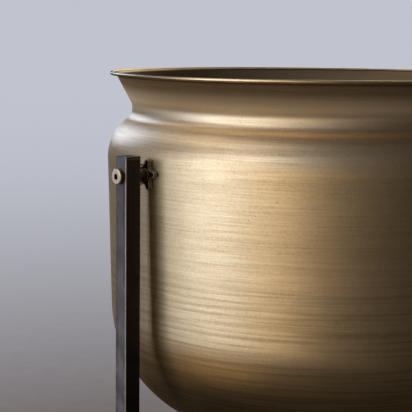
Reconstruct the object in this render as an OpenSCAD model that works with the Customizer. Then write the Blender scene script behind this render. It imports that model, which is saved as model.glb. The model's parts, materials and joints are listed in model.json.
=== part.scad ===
// Spun brass planter pot hung between three square steel legs.
// Millimetres, +Z up. The origin is the middle of the pot's inner floor.
// Heights called "drop" are measured down from the middle of the rolled rim.

/* [Pot] */
// Underside of the base to the middle of the rolled rim
pot_height = 325; // [300:1:360]
// Outer radius where the shoulder meets the body
body_r = 198.8; // [194:0.1:205]
// Drop of the line where the shoulder meets the body
shoulder_drop = 78.5; // [74:0.5:84]
// Angle at which the body narrows towards the base, in degrees
body_taper = 1.58; // [0.5:0.01:2.5]
// Radius of the shoulder's curve
shoulder_r = 44; // [42:0.5:46]
// Angle that the shoulder turns through above the level, in degrees
shoulder_turn = 53; // [50:0.5:56]
// Radius of the neck's curve
neck_r = 12.5; // [10:0.5:14]
// Angle of the flare from the vertical, in degrees
flare_angle = 28; // [25:0.5:30]
// Radius of the turned-out lip
lip_r = 3.5; // [2.5:0.1:4]
// Radius of the curve between body and base
base_curve_r = 113; // [90:1:120]
// Radius to the middle of the rolled rim
rim_r = 195.4; // [194.5:0.1:197]
// Radius of the rolled rim's own section
bead_r = 1.6; // [1.2:0.1:2]
// Thickness of the spun sheet
wall = 1.2; // [0.8:0.1:1.4]

/* [Legs] */
// Floor to the middle of the rolled rim
stand_height = 600; // [480:5:800]
// Side of the square tube
leg_side = 15; // [14:0.5:16]
// Wall of the square tube
tube_wall = 1.5; // [1:0.1:1.8]
// Radius of the tube's outer corners
tube_corner_r = 0.9; // [0.5:0.1:1.2]
// Radius from the pot's axis to the leg's axis
leg_axis_r = 220; // [218:0.5:226]
// Drop of the leg's top
leg_top_drop = 65; // [60:1:68]
// Drop of the upper bolt's axis
bolt_drop = 81.5; // [80:0.5:90]
// Thickness of the plate on a leg cap and on a foot
plug_plate = 2; // [1.5:0.5:4]

/* [Fasteners] */
// Nominal bolt diameter
bolt_d = 8; // [6:1:8]
// Length of the bolts under the head
bolt_length = 40; // [36:1:42]
// Diameter of the bolt head
head_d = 13; // [12:0.5:14]
// Height of the bolt head
head_h = 5; // [4:0.5:6]
// Width across flats of the bolt's hex socket
socket_af = 5; // [4:0.5:6]
// Radius to the tips of the star nut's lobes
star_r = 13.3; // [12:0.1:14]
// Thickness of the star nut's flange
star_flange = 3; // [2:0.1:4]
// Outer diameter of the star nut's barrel
star_barrel_d = 10; // [9.5:0.1:11]
// Width across flats of the cap nut
cap_nut_af = 13; // [12:0.5:14]

/* [Brace] */
// Width across flats of the six-sided hub
hub_af = 52; // [44:1:60]
// Radius at which the hub's spigots end
spigot_end_r = 58; // [52:1:64]
// Diameter of the hub screws
hub_screw_d = 5; // [4:1:5]

/* [Hidden] */
leg_count = 3;
first_leg_angle = 210;
leg_numbers = [0, 1, 2];

// heights
rim_z = pot_height - wall;
base_z = -wall;
floor_z = rim_z - stand_height;
leg_top_z = rim_z - leg_top_drop;
upper_bolt_z = rim_z - bolt_drop;
brace_z = base_z - leg_side / 2;

// fits, as gaps on the radius or between faces
thread_gap = 0.05;
turning_gap = 0.05;
hole_gap = 0.25;
face_gap = 0.25;
plug_gap = 0.05;
bolt_hole_r = bolt_d / 2 + hole_gap;
bore_r = bolt_d / 2 + thread_gap;
cut = 1; // how far a cutting shape runs past the solid that it cuts

// leg faces
leg_outer_r = leg_axis_r + leg_side / 2;
leg_inner_r = leg_axis_r - leg_side / 2;
plug_side = leg_side - 2 * tube_wall - 2 * plug_gap;
cap_insert = 9;
foot_insert = 20;
arm_plug_length = 32;

// washers on each side of the pot's wall
pad_r = 7.5;
pad_thickness = 1.2;
pad_gap = 0.1;
pad_outer_r = body_r + pad_gap + pad_thickness;
washer_r = 8;
washer_thickness = 1.6;
washer_gap = 0.8;
washer_outer_r = body_r - wall - washer_gap;

// bolt head
edge_chamfer = 0.7;
socket_depth = 3;

// star nut
star_flange_r = pad_outer_r + face_gap;
star_end_r = leg_inner_r - face_gap;
star_lobes = 5;
lobe_tip_r = star_r / 5;
star_web_r = star_r - lobe_tip_r;
scallop_r = 0.38 * star_r;
scallop_centre_r = 0.96 * star_r;
star_turn = 22;

// cap nut
cap_nut_hex_h = 6.5;
cap_nut_h = 15;
cap_nut_bore = 11.5;
cap_nut_step = 0.4;

// hub
spigot_root = 4;
hub_screw_r = 42;
hub_screw_head_r = 4.75;
hub_screw_face_r = 3.15;
hub_screw_head_h = 2.7;
hub_screw_length = 10;
hub_socket_af = 3;
hub_socket_depth = 1.6;

round_fn = 96;
fine_fn = 48;

// ---------- the pot's outline ----------

function arc(centre, r, from, to, steps) =
    [for (i = [0:steps])
        let (a = from + (to - from) * i / steps)
        centre + r * [cos(a), sin(a)]];

function towards(a) = [cos(a), sin(a)];

// centres of the outline's curves, as [radius, height]
shoulder_join = [body_r, rim_z - shoulder_drop];
shoulder_centre = shoulder_join - shoulder_r * towards(-body_taper);
neck_centre = shoulder_centre + (shoulder_r + neck_r) * towards(shoulder_turn);
flare_start = neck_centre - neck_r * towards(-flare_angle);
flare_direction = [sin(flare_angle), cos(flare_angle)];
lip_top_z = rim_z - wall / 2;
flare_run = (lip_top_z - lip_r + lip_r * sin(flare_angle) - flare_start[1]) / cos(flare_angle);
lip_centre = flare_start + flare_run * flare_direction + lip_r * towards(-flare_angle);
base_curve_z = base_z + base_curve_r;
body_run = (shoulder_join[1] - base_curve_z + base_curve_r * sin(body_taper)) / cos(body_taper);
base_curve_centre = shoulder_join
    - body_run * [sin(body_taper), cos(body_taper)]
    - base_curve_r * towards(-body_taper);

// the outline from the middle of the base to the end of the lip, moved in by "depth"
function outline(depth) = concat(
    [[0, base_z + depth]],
    arc(base_curve_centre, base_curve_r - depth, -90, -body_taper, 24),
    arc(shoulder_centre, shoulder_r - depth, -body_taper, shoulder_turn, 16),
    arc(neck_centre, neck_r + depth, shoulder_turn + 180, 180 - flare_angle, 12),
    arc(lip_centre, lip_r + depth, 180 - flare_angle, 90, 6),
    [[rim_r, rim_z - wall / 2 + depth]]
);

function across_corners(flats) = flats / cos(30);

function reversed(points) = [for (i = [len(points) - 1:-1:0]) points[i]];

// ---------- shared shapes ----------

// places a child, drawn along +X, on the radius that leg number n stands on
module at_leg(n) {
    rotate([0, 0, first_leg_angle + n * 360 / leg_count])
        children();
}

// turns a child drawn along +Z so that it lies along the leg's radius, pointing outwards
module outwards(radius, height) {
    translate([radius, 0, height])
        rotate([0, 90, 0])
            children();
}

// turns a child drawn along +Z so that it points at the pot's axis
module inwards(radius, height) {
    translate([radius, 0, height])
        rotate([0, -90, 0])
            children();
}

module rounded_square(side, corner_r) {
    straight = side - 2 * corner_r;
    square([side, straight], center = true);
    square([straight, side], center = true);
    for (x = [-1, 1], y = [-1, 1])
        translate([x * straight / 2, y * straight / 2])
            circle(r = corner_r, $fn = fine_fn);
}

module square_tube(length) {
    linear_extrude(length)
        difference() {
            rounded_square(leg_side, tube_corner_r);
            square(leg_side - 2 * tube_wall, center = true);
        }
}

module bolt() {
    difference() {
        rotate_extrude($fn = round_fn)
            polygon([
                [0, -bolt_length],
                [bolt_d / 2 - edge_chamfer, -bolt_length],
                [bolt_d / 2, -bolt_length + edge_chamfer],
                [bolt_d / 2, 0],
                [head_d / 2, 0],
                [head_d / 2, head_h - edge_chamfer],
                [head_d / 2 - edge_chamfer, head_h],
                [0, head_h]
            ]);
        translate([0, 0, head_h - socket_depth])
            cylinder(d = across_corners(socket_af), h = socket_depth + cut, $fn = 6);
    }
}

module washer(outer_r, thickness) {
    difference() {
        cylinder(r = outer_r, h = thickness, $fn = round_fn);
        translate([0, 0, -cut])
            cylinder(r = bolt_hole_r, h = thickness + 2 * cut, $fn = round_fn);
    }
}

module tube_plug(insert) {
    linear_extrude(plug_plate)
        rounded_square(leg_side, tube_corner_r);
    translate([0, 0, plug_plate])
        linear_extrude(insert)
            square(plug_side, center = true);
}

// ---------- the pot ----------

module pot_shell() {
    color("#b08d57")
        difference() {
            union() {
                rotate_extrude($fn = round_fn)
                    polygon(concat(outline(0), reversed(outline(wall))));
                translate([0, 0, rim_z])
                    rotate_extrude($fn = round_fn)
                        translate([rim_r, 0])
                            circle(r = bead_r, $fn = fine_fn);
            }
            for (n = leg_numbers)
                at_leg(n)
                    outwards(body_r - bolt_length / 2, upper_bolt_z)
                        cylinder(r = bolt_hole_r, h = bolt_length, $fn = round_fn);
        }
}

// ---------- the legs ----------

module leg(n) {
    color("#4a4a4d")
        at_leg(n)
            difference() {
                translate([leg_axis_r, 0, floor_z + plug_plate])
                    square_tube(leg_top_z - floor_z - 2 * plug_plate);
                for (z = [upper_bolt_z, brace_z])
                    outwards(leg_inner_r - cut, z)
                        cylinder(r = bolt_hole_r, h = leg_side + 2 * cut, $fn = round_fn);
            }
}

module leg_cap(n) {
    color("#434346")
        at_leg(n)
            translate([leg_axis_r, 0, leg_top_z])
                mirror([0, 0, 1])
                    tube_plug(cap_insert);
}

module leg_foot(n) {
    color("#1f1f20")
        at_leg(n)
            translate([leg_axis_r, 0, floor_z])
                tube_plug(foot_insert);
}

// ---------- what joins the pot to a leg ----------

module pot_bolt(n) {
    color("#a98a55")
        at_leg(n)
            outwards(leg_outer_r, upper_bolt_z)
                bolt();
}

module star_outline() {
    difference() {
        circle(r = star_web_r, $fn = round_fn);
        for (i = [0:star_lobes - 1])
            rotate(star_turn + (i + 0.5) * 360 / star_lobes)
                translate([scallop_centre_r, 0])
                    circle(r = scallop_r, $fn = fine_fn);
    }
    for (i = [0:star_lobes - 1])
        rotate(star_turn + i * 360 / star_lobes)
            translate([star_web_r, 0])
                circle(r = lobe_tip_r, $fn = fine_fn);
}

module star_nut(n) {
    color("#8a7040")
        at_leg(n)
            outwards(star_flange_r, upper_bolt_z)
                difference() {
                    union() {
                        linear_extrude(star_flange)
                            star_outline();
                        cylinder(d = star_barrel_d, h = star_end_r - star_flange_r, $fn = round_fn);
                    }
                    translate([0, 0, -cut])
                        cylinder(r = bolt_d / 2 + turning_gap, h = leg_side, $fn = round_fn);
                }
}

module wall_pad(n) {
    color("#161616")
        at_leg(n)
            inwards(pad_outer_r, upper_bolt_z)
                washer(pad_r, pad_thickness);
}

module inner_washer(n) {
    color("#b9b9b4")
        at_leg(n)
            inwards(washer_outer_r, upper_bolt_z)
                washer(washer_r, washer_thickness);
}

module cap_nut(n) {
    dome_r = cap_nut_af / 2 - cap_nut_step;
    color("#c0a060")
        at_leg(n)
            inwards(washer_outer_r - washer_thickness, upper_bolt_z)
                difference() {
                    union() {
                        cylinder(d = across_corners(cap_nut_af), h = cap_nut_hex_h, $fn = 6);
                        translate([0, 0, cap_nut_hex_h])
                            cylinder(r = dome_r, h = cap_nut_h - cap_nut_hex_h - dome_r, $fn = fine_fn);
                        translate([0, 0, cap_nut_h - dome_r])
                            sphere(r = dome_r, $fn = fine_fn);
                    }
                    translate([0, 0, -cut])
                        cylinder(r = bore_r, h = cap_nut_bore + cut, $fn = round_fn);
                }
}

// ---------- the brace under the pot ----------

module brace_arm(n) {
    start_r = hub_af / 2;
    color("#4a4a4d")
        at_leg(n)
            difference() {
                outwards(start_r, brace_z)
                    square_tube(leg_inner_r - start_r);
                translate([hub_screw_r, 0, brace_z - leg_side / 2 - cut])
                    cylinder(r = hub_screw_d / 2 + hole_gap, h = tube_wall + 2 * cut, $fn = fine_fn);
            }
}

module arm_plug(n) {
    color("#77777a")
        at_leg(n)
            inwards(leg_inner_r, brace_z)
                difference() {
                    linear_extrude(arm_plug_length)
                        square(plug_side, center = true);
                    translate([0, 0, -cut])
                        cylinder(r = bore_r, h = arm_plug_length + 2 * cut, $fn = round_fn);
                }
}

module brace_bolt(n) {
    color("#a98a55")
        at_leg(n)
            outwards(leg_outer_r, brace_z)
                bolt();
}

module brace_hub() {
    color("#3f3f42")
        difference() {
            union() {
                translate([0, 0, brace_z - leg_side / 2])
                    rotate([0, 0, first_leg_angle + 30])
                        cylinder(d = across_corners(hub_af), h = leg_side, $fn = 6);
                for (n = leg_numbers)
                    at_leg(n)
                        outwards(hub_af / 2 - spigot_root, brace_z)
                            linear_extrude(spigot_end_r - hub_af / 2 + spigot_root)
                                square(plug_side, center = true);
            }
            for (n = leg_numbers)
                at_leg(n)
                    translate([hub_screw_r, 0, brace_z - leg_side])
                        cylinder(
                            r = hub_screw_d / 2 + thread_gap,
                            h = leg_side / 2 + hub_screw_length,
                            $fn = fine_fn
                        );
        }
}

module hub_screw() {
    difference() {
        rotate_extrude($fn = fine_fn)
            polygon([
                [0, -hub_screw_head_h],
                [hub_screw_face_r, -hub_screw_head_h],
                [0.25 * hub_screw_face_r + 0.75 * hub_screw_head_r, -hub_screw_head_h / 2],
                [hub_screw_head_r, 0],
                [hub_screw_d / 2, 0],
                [hub_screw_d / 2, hub_screw_length],
                [0, hub_screw_length]
            ]);
        translate([0, 0, -hub_screw_head_h - cut])
            cylinder(d = across_corners(hub_socket_af), h = cut + hub_socket_depth, $fn = 6);
    }
}

module hub_screws() {
    color("#2b2b2d")
        for (n = leg_numbers)
            at_leg(n)
                translate([hub_screw_r, 0, brace_z - leg_side / 2])
                    hub_screw();
}

pot_shell();
leg(0);  // leg_1
leg(1);  // leg_2
leg(2);  // leg_3
leg_cap(0);  // leg_cap_1
leg_cap(1);  // leg_cap_2
leg_cap(2);  // leg_cap_3
leg_foot(0);  // leg_foot_1
leg_foot(1);  // leg_foot_2
leg_foot(2);  // leg_foot_3
pot_bolt(0);  // pot_bolt_1
pot_bolt(1);  // pot_bolt_2
pot_bolt(2);  // pot_bolt_3
star_nut(0);  // star_nut_1
star_nut(1);  // star_nut_2
star_nut(2);  // star_nut_3
wall_pad(0);  // wall_pad_1
wall_pad(1);  // wall_pad_2
wall_pad(2);  // wall_pad_3
inner_washer(0);  // inner_washer_1
inner_washer(1);  // inner_washer_2
inner_washer(2);  // inner_washer_3
cap_nut(0);  // cap_nut_1
cap_nut(1);  // cap_nut_2
cap_nut(2);  // cap_nut_3
brace_arm(0);  // brace_arm_1
brace_arm(1);  // brace_arm_2
brace_arm(2);  // brace_arm_3
arm_plug(0);  // arm_plug_1
arm_plug(1);  // arm_plug_2
arm_plug(2);  // arm_plug_3
brace_bolt(0);  // brace_bolt_1
brace_bolt(1);  // brace_bolt_2
brace_bolt(2);  // brace_bolt_3
brace_hub();
hub_screws();
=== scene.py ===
import json
import math

import bpy
from mathutils import Matrix, Vector, noise


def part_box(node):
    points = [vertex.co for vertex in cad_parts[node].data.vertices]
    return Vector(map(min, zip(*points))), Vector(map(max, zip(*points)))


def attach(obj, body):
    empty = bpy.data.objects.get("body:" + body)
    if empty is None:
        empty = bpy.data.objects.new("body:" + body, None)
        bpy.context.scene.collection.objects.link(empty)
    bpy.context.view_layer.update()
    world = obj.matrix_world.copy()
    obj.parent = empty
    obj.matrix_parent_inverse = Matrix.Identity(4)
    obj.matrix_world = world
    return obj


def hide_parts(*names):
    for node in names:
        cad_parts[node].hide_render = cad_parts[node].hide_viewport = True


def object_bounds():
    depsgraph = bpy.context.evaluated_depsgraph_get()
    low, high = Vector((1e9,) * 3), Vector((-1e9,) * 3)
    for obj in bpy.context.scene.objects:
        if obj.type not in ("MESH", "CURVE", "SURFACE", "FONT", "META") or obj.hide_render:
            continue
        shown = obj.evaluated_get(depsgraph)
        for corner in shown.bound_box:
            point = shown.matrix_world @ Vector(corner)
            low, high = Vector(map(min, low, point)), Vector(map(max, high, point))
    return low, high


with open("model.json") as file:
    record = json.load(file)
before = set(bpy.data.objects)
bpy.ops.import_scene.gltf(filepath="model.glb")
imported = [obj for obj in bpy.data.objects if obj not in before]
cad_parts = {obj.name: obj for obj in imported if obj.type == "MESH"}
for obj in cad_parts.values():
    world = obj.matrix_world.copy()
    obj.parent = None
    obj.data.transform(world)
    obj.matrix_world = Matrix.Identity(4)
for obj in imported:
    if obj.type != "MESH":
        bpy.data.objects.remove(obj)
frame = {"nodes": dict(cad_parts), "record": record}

# ---------- sizes, in metres, worked out from the frame ----------

cad_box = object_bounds()
CAD_LOW = cad_box[0]
POT_LOW, POT_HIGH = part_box("pot_shell")
PLANTER = "planter"

# leg 3 is at the back, so its outer face and its bolt head are the highest in y
LEG_FACE_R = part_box("leg_3")[1].y
BOLT_FACE_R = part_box("pot_bolt_3")[1].y

# the pot's outline: a chain of tangent curves
SHEET = 0.0012
BEAD_R = 0.0016
BODY_R = POT_HIGH.x
RIM_Z = POT_HIGH.z - BEAD_R
RIM_R = 0.1954
SHOULDER_DROP = 0.0785
BODY_TAPER = math.radians(1.58)
SHOULDER_R = 0.044
SHOULDER_TURN = math.radians(53)
NECK_R = 0.0125
FLARE_ANGLE = math.radians(28)
LIP_R = 0.0035
BASE_CURVE_R = 0.113
NECK_Z = RIM_Z - 0.033

# where the brass is painted lighter as a painted highlight, and where its streaks start, as heights
PAINTED_HIGHLIGHT_TOP_Z = RIM_Z - 0.009
PAINTED_HIGHLIGHT_FULL_Z = RIM_Z - 0.016
STREAKS_START_Z = 0.19
STREAKS_FULL_Z = 0.14
POT_SEGMENTS = 360
LONGEST_STEP = 0.006
SAME_POINT = 1e-7

# handwork: how far the spun sheet strays from a true round, always inwards
BODY_WOBBLE = 0.00025
RIPPLE = 0.00004
RIM_WOBBLE = 0.0005
RIM_WOBBLE_DEPTH = 0.02


# ---------- the camera ----------

CAMERA_SIDE = math.radians(-13.9)
CAMERA_DISTANCE = 1.1846
CAMERA_ABOVE_RIM = 0.0356
CAMERA_PAN = math.radians(5.17)
CAMERA_TILT = math.radians(-7.74)
CAMERA_ROLL = math.radians(0.64)
CAMERA_LENS = 110.3
CAMERA_SENSOR = 36.0


def around(angle, distance):
    """A point on a circle round the pot, where 0 is the front and positive angles go to the right."""
    return Vector((math.sin(angle) * distance, -math.cos(angle) * distance, 0.0))


def make_camera():
    data = bpy.data.cameras.new("camera")
    data.lens = CAMERA_LENS
    data.sensor_width = CAMERA_SENSOR
    data.clip_start = 0.05
    data.clip_end = 60.0
    camera = bpy.data.objects.new("camera", data)
    bpy.context.scene.collection.objects.link(camera)
    heading = CAMERA_SIDE + CAMERA_PAN
    flat = Vector((-math.sin(heading), math.cos(heading), 0.0))
    ahead = flat * math.cos(CAMERA_TILT) + Vector((0.0, 0.0, math.sin(CAMERA_TILT)))
    right = Vector((math.cos(heading), math.sin(heading), 0.0))
    up = right.cross(ahead)
    turned_right = right * math.cos(CAMERA_ROLL) + up * math.sin(CAMERA_ROLL)
    turned_up = up * math.cos(CAMERA_ROLL) - right * math.sin(CAMERA_ROLL)
    turn = Matrix((turned_right, turned_up, -ahead)).transposed()
    place = around(CAMERA_SIDE, CAMERA_DISTANCE) + Vector((0.0, 0.0, RIM_Z + CAMERA_ABOVE_RIM))
    camera.matrix_world = Matrix.Translation(place) @ turn.to_4x4()
    bpy.context.scene.camera = camera


# ---------- materials ----------

# painted highlight: a lighter brass painted on the neck and lower flare, where the metal reflects more
# light
PAINTED_HIGHLIGHT_BRASS = (0.96, 0.82, 0.62)
# painted shade: a dark colour painted on the flare towards the lip and just under the bead; the inside
# is made darker with it too
DARK_SHADE_AND_INSIDE = (0.13, 0.085, 0.045)


class Graph:
    """A material whose nodes are made one call at a time."""

    def __init__(self, name):
        self.material = bpy.data.materials.new(name)
        self.material.use_nodes = True
        self.tree = self.material.node_tree
        self.shader = self.tree.nodes["Principled BSDF"]

    def node(self, kind, sockets=(), **settings):
        made = self.tree.nodes.new(kind)
        for key, value in settings.items():
            setattr(made, key, value)
        for key, value in dict(sockets).items():
            self.feed(made.inputs[key], value)
        return made

    def feed(self, socket, value):
        if isinstance(value, bpy.types.NodeSocket):
            self.tree.links.new(value, socket)
        else:
            socket.default_value = value

    def math(self, operation, first, second=0.0):
        return self.node("ShaderNodeMath", {0: first, 1: second}, operation=operation).outputs[0]

    def noise(self, vector, scale=1.0, detail=2.0, roughness=0.5):
        sockets = {
            "Vector": vector,
            "Scale": scale,
            "Detail": detail,
            "Roughness": roughness,
        }
        return self.node("ShaderNodeTexNoise", sockets).outputs["Fac"]

    def remap(self, value, low, high, to_low=0.0, to_high=1.0):
        sockets = {"Value": value, 1: low, 2: high, 3: to_low, 4: to_high}
        return self.node("ShaderNodeMapRange", sockets).outputs[0]

    def ramp(self, value, stops):
        made = self.node("ShaderNodeValToRGB", {"Fac": value})
        ramp = made.color_ramp
        while len(ramp.elements) < len(stops):
            ramp.elements.new(0.5)
        for element, (place, colour) in zip(ramp.elements, stops):
            element.position = place
            element.color = (*colour, 1.0)
        return made.outputs["Color"]

    def mix(self, share, first, second):
        made = self.node("ShaderNodeMix", data_type="RGBA")
        self.feed(made.inputs[0], share)
        self.feed(made.inputs[6], first if isinstance(first, bpy.types.NodeSocket) else (*first, 1.0))
        self.feed(made.inputs[7], second if isinstance(second, bpy.types.NodeSocket) else (*second, 1.0))
        return made.outputs[2]

    def place(self):
        return self.node("ShaderNodeTexCoord").outputs["Object"]

    def reach(self):
        """How far the surface is from the pot's axis."""
        split = self.node("ShaderNodeSeparateXYZ", {0: self.place()})
        flat = self.node("ShaderNodeCombineXYZ", {0: split.outputs[0], 1: split.outputs[1]}).outputs[0]
        return self.node("ShaderNodeVectorMath", {0: flat}, operation="LENGTH").outputs["Value"]

    def edges(self, width):
        """1 along the edges and corners of the surface, 0 on its faces."""
        rounded = self.node("ShaderNodeBevel", {"Radius": width}, samples=4).outputs[0]
        plain = self.node("ShaderNodeNewGeometry").outputs["Normal"]
        alike = self.node("ShaderNodeVectorMath", {0: rounded, 1: plain}, operation="DOT_PRODUCT")
        return self.remap(alike.outputs["Value"], 0.985, 0.90)

    def bump(self, height, distance, strength=1.0):
        sockets = {"Height": height, "Distance": distance, "Strength": strength}
        self.feed(self.shader.inputs["Normal"], self.node("ShaderNodeBump", sockets).outputs[0])

    def set(self, **values):
        for key, value in values.items():
            self.feed(self.shader.inputs[key.replace("_", " ")], value)


def turned_coordinates(graph, around_scale, along_scale):
    """Coordinates for marks that run round the pot: slow along a turn, quick from turn to turn."""
    split = graph.node("ShaderNodeSeparateXYZ", {0: graph.place()})
    flat = graph.node("ShaderNodeCombineXYZ", {0: split.outputs[0], 1: split.outputs[1]}).outputs[0]
    unit = graph.node("ShaderNodeVectorMath", {0: flat}, operation="NORMALIZE").outputs[0]
    parts = graph.node("ShaderNodeSeparateXYZ", {0: unit})
    run = graph.node("ShaderNodeAttribute", attribute_name="run").outputs["Fac"]
    sockets = {
        0: graph.math("MULTIPLY", parts.outputs[0], around_scale),
        1: graph.math("MULTIPLY", parts.outputs[1], around_scale),
        2: graph.math("MULTIPLY", run, along_scale),
    }
    return graph.node("ShaderNodeCombineXYZ", sockets).outputs[0]


def aged_brass():
    """Antique brass on spun sheet: fine turned lines, soft bands and cloudy patina, with a painted
    highlight on the neck and lower flare and painted shade towards the lip and under the bead.
    """
    graph = Graph("aged_brass")
    hair = graph.noise(turned_coordinates(graph, 16.0, 2400.0), detail=1.0)
    lines = graph.noise(turned_coordinates(graph, 4.0, 950.0), detail=2.0, roughness=0.6)
    streaks = graph.noise(turned_coordinates(graph, 1.3, 340.0), detail=2.0, roughness=0.5)
    bands = graph.noise(turned_coordinates(graph, 0.4, 50.0), detail=2.0, roughness=0.5)
    cloud = graph.noise(graph.place(), scale=22.0, detail=5.0, roughness=0.6)
    grain = graph.noise(graph.place(), scale=520.0, detail=3.0, roughness=0.65)
    mix = graph.math("MULTIPLY", grain, 0.27)
    for layer, weight in ((lines, 0.34), (streaks, 0.13), (bands, 0.11), (cloud, 0.15)):
        mix = graph.math("ADD", mix, graph.math("MULTIPLY", layer, weight))
    tone = graph.ramp(mix, [
        (0.34, (0.44, 0.315, 0.175)),
        (0.45, (0.62, 0.475, 0.290)),
        (0.54, (0.70, 0.550, 0.350)),
        (0.66, (0.78, 0.635, 0.430)),
    ])
    height = graph.node("ShaderNodeSeparateXYZ", {0: graph.place()}).outputs[2]
    on_flare = graph.remap(height, NECK_Z, NECK_Z + 0.011)
    on_bead = graph.remap(height, RIM_Z - BEAD_R * 1.3, RIM_Z - BEAD_R * 0.6)
    inside = graph.node("ShaderNodeAttribute", attribute_name="inside").outputs["Fac"]
    # the neck and lower flare are painted lighter as a painted highlight, the lower body streaked, the
    # flare painted darker towards the lip and just under the bead as painted shade, and the inside
    # darker
    painted_highlight = graph.remap(height, PAINTED_HIGHLIGHT_TOP_Z, PAINTED_HIGHLIGHT_FULL_Z)
    painted_highlight = graph.math("MULTIPLY", painted_highlight, graph.remap(height, NECK_Z - 0.004, NECK_Z + 0.008))
    tone = graph.mix(graph.math("MULTIPLY", painted_highlight, 0.8), tone, PAINTED_HIGHLIGHT_BRASS)
    low_body = graph.remap(height, STREAKS_START_Z, STREAKS_FULL_Z)
    stain = graph.math("MULTIPLY", graph.remap(streaks, 0.50, 0.40), low_body)
    tone = graph.mix(graph.math("MULTIPLY", stain, 0.28), tone, (0.30, 0.205, 0.105))
    specks = graph.noise(graph.place(), scale=260.0, detail=2.0, roughness=0.7)
    tone = graph.mix(graph.remap(specks, 0.70, 0.76, 0.0, 0.45), tone, (0.22, 0.15, 0.08))
    # painted shade: the flare is painted darker towards the lip, and darker again just under the bead,
    # but not on the bead
    lip_painted_shade = graph.math("MULTIPLY", graph.remap(height, NECK_Z + 0.010, RIM_Z - 0.010), 0.55)
    painted_shade_and_dark_inside = graph.remap(height, RIM_Z - BEAD_R * 3.2, RIM_Z - BEAD_R * 2.0)
    painted_shade_and_dark_inside = graph.math("MAXIMUM", lip_painted_shade, graph.math("MULTIPLY", painted_shade_and_dark_inside, 0.85))
    painted_shade_and_dark_inside = graph.math("MULTIPLY", painted_shade_and_dark_inside, graph.math("SUBTRACT", 1.0, on_bead))
    painted_shade_and_dark_inside = graph.math("MAXIMUM", painted_shade_and_dark_inside, graph.math("MULTIPLY", inside, 0.84))
    colour = graph.mix(painted_shade_and_dark_inside, tone, DARK_SHADE_AND_INSIDE)
    roughness = graph.remap(lines, 0.3, 0.7, 0.45, 0.39)
    roughness = graph.math("ADD", roughness, graph.math("MULTIPLY", on_flare, 0.22))
    roughness = graph.math("SUBTRACT", roughness, graph.math("MULTIPLY", on_bead, 0.30))
    graph.set(
        Base_Color=colour,
        Metallic=1.0,
        Roughness=roughness,
        Anisotropic=0.6,
    )
    tangent = graph.node("ShaderNodeTangent", direction_type="RADIAL", axis="Z").outputs[0]
    graph.feed(graph.shader.inputs["Tangent"], tangent)
    graph.bump(graph.math("ADD", hair, lines), 0.00005, 0.6)
    return graph.material


def dark_steel():
    """Grey lacquer on drawn steel: faint lengthwise marks, with the leg's outer face painted paler as
    painted light.
    """
    graph = Graph("dark_steel")
    stretched = graph.node("ShaderNodeMapping", {"Vector": graph.place(), "Scale": (900.0, 900.0, 14.0)})
    marks = graph.noise(stretched.outputs[0], detail=2.0, roughness=0.6)
    cloud = graph.noise(graph.place(), scale=55.0, detail=4.0, roughness=0.6)
    grain = graph.noise(graph.place(), scale=1500.0, detail=2.0)
    mix = graph.math("ADD", graph.math("MULTIPLY", marks, 0.4), graph.math("MULTIPLY", cloud, 0.6))
    lacquer = graph.ramp(mix, [(0.35, (0.050, 0.047, 0.048)), (0.65, (0.085, 0.080, 0.081))])
    painted_light_and_wear_colour = graph.ramp(mix, [(0.35, (0.225, 0.205, 0.205)), (0.65, (0.335, 0.306, 0.308))])
    # the face turned away from the pot is painted paler as painted light, and the corners show wear to
    # bare metal
    outer = graph.remap(graph.reach(), LEG_FACE_R - 0.0012, LEG_FACE_R - 0.0002)
    colour = graph.mix(outer, lacquer, painted_light_and_wear_colour)
    colour = graph.mix(graph.math("MULTIPLY", graph.edges(0.0012), 0.7), colour, (0.46, 0.44, 0.45))
    graph.set(
        Base_Color=colour,
        Metallic=1.0,
        Roughness=graph.remap(cloud, 0.3, 0.7, 0.42, 0.52),
    )
    graph.bump(graph.math("ADD", grain, marks), 0.00003, 0.5)
    return graph.material


def fastener_brass(name, dark, light, edge_width):
    """Antique brass plating on small fasteners: dark, but bright on the edges and on bolt faces; on thin
    edges this is wear, on bolt faces and wide edges a painted highlight.
    """
    graph = Graph(name)
    cloud = graph.noise(graph.place(), scale=420.0, detail=4.0, roughness=0.6)
    plate_and_painted_shade = graph.ramp(cloud, [(0.3, dark), (0.7, light)])
    painted_light_and_wear_colour = graph.ramp(cloud, [(0.3, (0.72, 0.60, 0.44)), (0.7, (0.95, 0.86, 0.72))])
    # the bright colour goes on edges and bolt faces: wear on thin edges, a painted highlight on bolt
    # faces turned away from the pot and on wide edges
    face = graph.remap(graph.reach(), BOLT_FACE_R - 0.0009, BOLT_FACE_R - 0.0003)
    wear_and_painted_highlight = graph.math("MAXIMUM", graph.edges(edge_width), face)
    roughness = graph.remap(cloud, 0.3, 0.7, 0.36, 0.26)
    roughness = graph.math("ADD", roughness, graph.math("MULTIPLY", wear_and_painted_highlight, 0.26))
    graph.set(
        Base_Color=graph.mix(wear_and_painted_highlight, plate_and_painted_shade, painted_light_and_wear_colour),
        Metallic=1.0,
        Roughness=roughness,
    )
    graph.bump(graph.noise(graph.place(), scale=2500.0, detail=2.0), 0.00002, 0.5)
    return graph.material


def plated_steel():
    """Zinc-plated steel with a dull spangle."""
    graph = Graph("plated_steel")
    cloud = graph.noise(graph.place(), scale=600.0, detail=3.0)
    graph.set(
        Base_Color=graph.ramp(cloud, [(0.3, (0.42, 0.42, 0.40)), (0.7, (0.66, 0.66, 0.63))]),
        Metallic=1.0,
        Roughness=graph.remap(cloud, 0.3, 0.7, 0.30, 0.45),
    )
    graph.bump(cloud, 0.00002, 0.4)
    return graph.material


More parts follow.
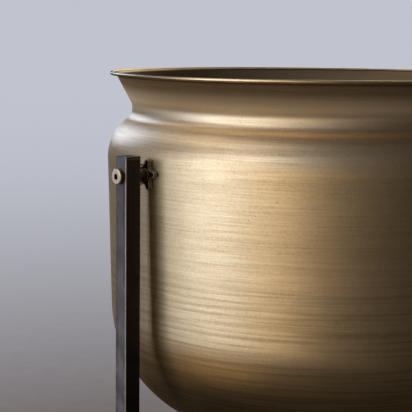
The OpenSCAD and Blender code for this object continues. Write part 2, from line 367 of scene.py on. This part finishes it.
def dull_black(name, shade, roughness):
    """Matt black rubber, plastic or oxide with a fine grain."""
    graph = Graph(name)
    grain = graph.noise(graph.place(), scale=1800.0, detail=2.0)
    cloud = graph.noise(graph.place(), scale=160.0, detail=3.0)
    dark = (shade * 0.8, shade * 0.8, shade * 0.82)
    light = (shade * 1.25, shade * 1.25, shade * 1.28)
    graph.set(
        Base_Color=graph.ramp(cloud, [(0.3, dark), (0.7, light)]),
        Roughness=graph.remap(cloud, 0.3, 0.7, roughness - 0.06, roughness + 0.06),
    )
    graph.bump(grain, 0.00004, 0.5)
    return graph.material


# ---------- the pot ----------


def towards(angle):
    return Vector((math.cos(angle), math.sin(angle)))


def arc(centre, radius, start, end, steps):
    turns = [start + (end - start) * i / steps for i in range(steps + 1)]
    return [centre + radius * towards(turn) for turn in turns]


def pot_outline(depth):
    """The sheet's surface from the middle of the base to the lip, moved in by depth."""
    base_z = POT_LOW.z
    shoulder_join = Vector((BODY_R, RIM_Z - SHOULDER_DROP))
    shoulder = shoulder_join - SHOULDER_R * towards(-BODY_TAPER)
    neck = shoulder + (SHOULDER_R + NECK_R) * towards(SHOULDER_TURN)
    flare_start = neck - NECK_R * towards(-FLARE_ANGLE)
    lip_top = RIM_Z - SHEET / 2
    rise = lip_top - LIP_R + LIP_R * math.sin(FLARE_ANGLE) - flare_start.y
    flare = Vector((math.sin(FLARE_ANGLE), math.cos(FLARE_ANGLE)))
    lip = flare_start + flare * rise / math.cos(FLARE_ANGLE) + LIP_R * towards(-FLARE_ANGLE)
    fall = shoulder_join.y - base_z - BASE_CURVE_R + BASE_CURVE_R * math.sin(BODY_TAPER)
    down = Vector((-math.sin(BODY_TAPER), -math.cos(BODY_TAPER)))
    base = shoulder_join + down * fall / math.cos(BODY_TAPER) - BASE_CURVE_R * towards(-BODY_TAPER)
    half_turn = math.pi
    points = [Vector((0.0, base_z + depth))]
    points += arc(base, BASE_CURVE_R - depth, -half_turn / 2, -BODY_TAPER, 48)
    points += arc(shoulder, SHOULDER_R - depth, -BODY_TAPER, SHOULDER_TURN, 32)
    points += arc(neck, NECK_R + depth, SHOULDER_TURN + half_turn, half_turn - FLARE_ANGLE, 20)
    points += arc(lip, LIP_R + depth, half_turn - FLARE_ANGLE, half_turn / 2, 10)
    return points


def filled_in(points, longest):
    """The same line with points added so that no step is longer than longest."""
    line = [points[0]]
    for point in points[1:]:
        start = line[-1]
        if (point - start).length < SAME_POINT:
            continue
        steps = math.ceil((point - start).length / longest)
        line += [start.lerp(point, i / steps) for i in range(1, steps + 1)]
    return line


def pot_section():
    """Rows of (radius, height, run, inside), from the base out, over the rim and back to the floor."""
    meet = math.asin(SHEET / 2 / BEAD_R)
    bead = arc(Vector((RIM_R, RIM_Z)), BEAD_R, math.pi + meet, 3 * math.pi - meet, 24)
    outer = filled_in(pot_outline(0.0), LONGEST_STEP)
    inner = filled_in(pot_outline(SHEET), LONGEST_STEP)
    rows = []
    run = 0.0
    last = outer[0]
    for inside, points in ((0.0, outer), (0.0, bead), (1.0, inner[::-1])):
        for point in points:
            run += (point - last).length
            last = point
            rows.append((point.x, point.y, run, inside))
    return rows


def handwork(radius, height, angle):
    """Moves a point of the section a little, as spinning by hand leaves it."""
    about = Vector((math.cos(angle), math.sin(angle), height * 9.0))
    share = min(1.0, radius / BODY_R)
    inwards = BODY_WOBBLE * (0.5 + 0.5 * noise.noise(about * 1.3)) * share
    ripple = RIPPLE * noise.noise(Vector((about.x * 0.8, about.y * 0.8, height * 160.0))) * share
    near_rim = max(0.0, 1.0 - (RIM_Z - height) / RIM_WOBBLE_DEPTH)
    sway = noise.noise(Vector((about.x * 2.4, about.y * 2.4, 5.0)))
    kinks = noise.noise(Vector((about.x * 9.0, about.y * 9.0, 7.0)))
    drop = RIM_WOBBLE * near_rim * (0.5 + 0.35 * sway + 0.15 * kinks)
    return radius - inwards - abs(ripple), height - drop


def make_pot(material):
    rows = pot_section()
    vertices = []
    runs = []
    insides = []
    faces = []
    for radius, height, run, inside in rows:
        if radius < 1e-9:
            vertices.append((0.0, 0.0, height))
            runs.append(run)
            insides.append(inside)
            continue
        for i in range(POT_SEGMENTS):
            angle = 2 * math.pi * i / POT_SEGMENTS
            r, z = handwork(radius, height, angle)
            vertices.append((r * math.cos(angle), r * math.sin(angle), z))
            runs.append(run)
            insides.append(inside)
    start = 1
    for i in range(POT_SEGMENTS):
        faces.append((0, 1 + (i + 1) % POT_SEGMENTS, 1 + i))
    for _ in range(len(rows) - 3):
        for i in range(POT_SEGMENTS):
            j = (i + 1) % POT_SEGMENTS
            upper = start + POT_SEGMENTS
            faces.append((start + i, start + j, upper + j, upper + i))
        start += POT_SEGMENTS
    top = len(vertices) - 1
    for i in range(POT_SEGMENTS):
        faces.append((start + i, start + (i + 1) % POT_SEGMENTS, top))
    mesh = bpy.data.meshes.new("pot")
    mesh.from_pydata(vertices, [], faces)
    mesh.attributes.new("run", "FLOAT", "POINT").data.foreach_set("value", runs)
    mesh.attributes.new("inside", "FLOAT", "POINT").data.foreach_set("value", insides)
    mesh.polygons.foreach_set("use_smooth", [True] * len(mesh.polygons))
    mesh.materials.append(material)
    mesh.update()
    pot = bpy.data.objects.new("pot", mesh)
    bpy.context.scene.collection.objects.link(pot)
    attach(pot, PLANTER)
    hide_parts("pot_shell")


# ---------- the CAD nodes that are shown as they are ----------


def finish_node(name, material, edge=0.0004):
    """Gives a CAD node its material and softens its sharp edges."""
    shown = frame["nodes"][name]
    shown.data.materials.clear()
    shown.data.materials.append(material)
    weld = shown.modifiers.new("weld", "WELD")
    weld.merge_threshold = 0.00001
    bevel = shown.modifiers.new("bevel", "BEVEL")
    bevel.width = edge
    bevel.segments = 3
    bevel.limit_method = "ANGLE"
    bevel.angle_limit = math.radians(35)
    bevel.harden_normals = False
    shown.data.polygons.foreach_set("use_smooth", [True] * len(shown.data.polygons))
    smooth = shown.modifiers.new("weighted", "WEIGHTED_NORMAL")
    smooth.keep_sharp = True


def finish_cad_nodes(materials, special):
    """Finishes every CAD node but the pot, by its slot or by the special finish for its kind."""
    by_slot = {part["node"]: part["material_slot"] for part in frame["record"]["subparts"]}
    for name, slot in by_slot.items():
        if name != "pot_shell":
            finish_node(name, special.get(name.rstrip("_123"), materials[slot]))


# ---------- floor and light ----------

BACKDROP = (0.53, 0.55, 0.62)
FLOOR_R = 14.0
LIGHT_DISTANCE = 6.5
FADE_START = 0.95
FADE_LENGTH = 1.65


def make_floor():
    """A plain grey floor that fades with distance into the paler backdrop."""
    bpy.ops.mesh.primitive_circle_add(
        vertices=96, radius=FLOOR_R, fill_type="NGON", location=(0, 0, CAD_LOW.z)
    )
    floor = bpy.context.object
    floor.name = "floor"
    graph = Graph("floor")
    speck = graph.noise(graph.place(), scale=30.0, detail=3.0)
    graph.set(
        Base_Color=graph.ramp(speck, [(0.3, (0.310, 0.280, 0.272)), (0.7, (0.335, 0.305, 0.297))]),
        Roughness=0.8,
        Specular_IOR_Level=0.0,
    )
    away = graph.node("ShaderNodeVectorMath", {0: graph.place()}, operation="LENGTH").outputs["Value"]
    beyond = graph.math("MAXIMUM", graph.math("SUBTRACT", away, FADE_START), 0.0)
    gone = graph.math("EXPONENT", graph.math("MULTIPLY", beyond, -1.0 / FADE_LENGTH))
    fade = graph.math("SUBTRACT", 1.0, gone)
    glow = graph.node("ShaderNodeEmission", {"Color": (*BACKDROP, 1.0)}).outputs[0]
    sweep = graph.node("ShaderNodeMixShader", {0: fade, 1: graph.shader.outputs[0], 2: glow})
    graph.feed(graph.tree.nodes["Material Output"].inputs["Surface"], sweep.outputs[0])
    floor.data.materials.append(graph.material)
    floor.visible_glossy = False
    floor.visible_diffuse = False
    floor.visible_shadow = False


def soft_light(name, side, height, width, tall, power, colour):
    """A soft box facing the pot.

    side is its angle to the right of the camera and height its elevation, both in degrees.
    width, tall and power are for a box 1 m away, and grow with LIGHT_DISTANCE to look the same.
    """
    data = bpy.data.lights.new(name, "AREA")
    data.shape = "RECTANGLE"
    data.size = width * LIGHT_DISTANCE
    data.size_y = tall * LIGHT_DISTANCE
    data.energy = power * LIGHT_DISTANCE ** 2
    data.color = colour
    light = bpy.data.objects.new(name, data)
    bpy.context.scene.collection.objects.link(light)
    rise = math.radians(height)
    middle = Vector((0.0, 0.0, (POT_LOW.z + POT_HIGH.z) / 2))
    away = around(CAMERA_SIDE + math.radians(side), math.cos(rise)) + Vector((0, 0, math.sin(rise)))
    turn = away.to_track_quat("Z", "Y").to_matrix().to_4x4()
    light.matrix_world = Matrix.Translation(middle + away * LIGHT_DISTANCE) @ turn
    light.visible_camera = False


def make_lights():
    soft_light("window", -66, 5, 0.20, 0.9, 2.0, (0.85, 0.85, 1.0))
    soft_light("window_side", -52, 4, 0.30, 0.8, 3.0, (0.70, 0.85, 1.0))
    soft_light("window_top", -40, 33, 0.50, 0.25, 1.4, (0.90, 0.90, 1.0))
    soft_light("warm_side", -24, 0, 0.30, 0.75, 1.6, (1.0, 0.75, 0.45))
    soft_light("bounce", -58, -34, 0.45, 0.4, 0.35, (1.0, 0.65, 0.25))
    soft_light("upper", -75, 54, 0.75, 0.45, 2.0, (1.0, 0.95, 0.95))
    soft_light("sky", -138, 17, 0.25, 0.3, 1.8, (0.50, 0.65, 1.0))
    soft_light("behind", 165, 25, 0.55, 0.55, 2.2, (1.0, 0.90, 0.65))


def make_world():
    """A dim warm room for the metal to reflect, an even fill for the floor and a pale backdrop."""
    world = bpy.data.worlds.new("room")
    bpy.context.scene.world = world
    world.use_nodes = True
    tree = world.node_tree
    tree.nodes.clear()

    def background(colour):
        made = tree.nodes.new("ShaderNodeBackground")
        made.inputs["Color"].default_value = (*colour, 1.0)
        return made.outputs[0]

    def choose(ray, otherwise, chosen):
        mix = tree.nodes.new("ShaderNodeMixShader")
        tree.links.new(path.outputs[ray], mix.inputs[0])
        tree.links.new(otherwise, mix.inputs[1])
        tree.links.new(chosen, mix.inputs[2])
        return mix.outputs[0]

    path = tree.nodes.new("ShaderNodeLightPath")
    room = background((0.020, 0.016, 0.012))
    fill = background((0.14, 0.13, 0.13))
    lit = choose("Is Diffuse Ray", room, fill)
    out = tree.nodes.new("ShaderNodeOutputWorld")
    tree.links.new(choose("Is Camera Ray", lit, background(BACKDROP)), out.inputs["Surface"])


make_camera()
brass = aged_brass()
bolt_brass = fastener_brass("brass_fastener_plate", (0.07, 0.05, 0.03), (0.20, 0.15, 0.10), 0.0004)
slots = {
    "aged_brass": brass,
    "dark_steel": dark_steel(),
    "brass_fastener": bolt_brass,
    "plated_steel": plated_steel(),
    "black_screw": dull_black("black_screw", 0.03, 0.42),
    "pad_rubber": dull_black("pad_rubber", 0.02, 0.75),
    "foot_plastic": dull_black("foot_plastic", 0.03, 0.55),
}
make_pot(brass)
# star nuts: a darker plating as painted shade, and wide bright edges as a painted highlight
star_nut_painted_shade_brass = fastener_brass("star_nut_painted_shade", (0.05, 0.037, 0.023), (0.14, 0.11, 0.07), 0.0018)
finish_cad_nodes(slots, {"star_nut": star_nut_painted_shade_brass})
make_floor()
make_lights()
make_world()
bpy.context.scene.view_settings.view_transform = "Standard"
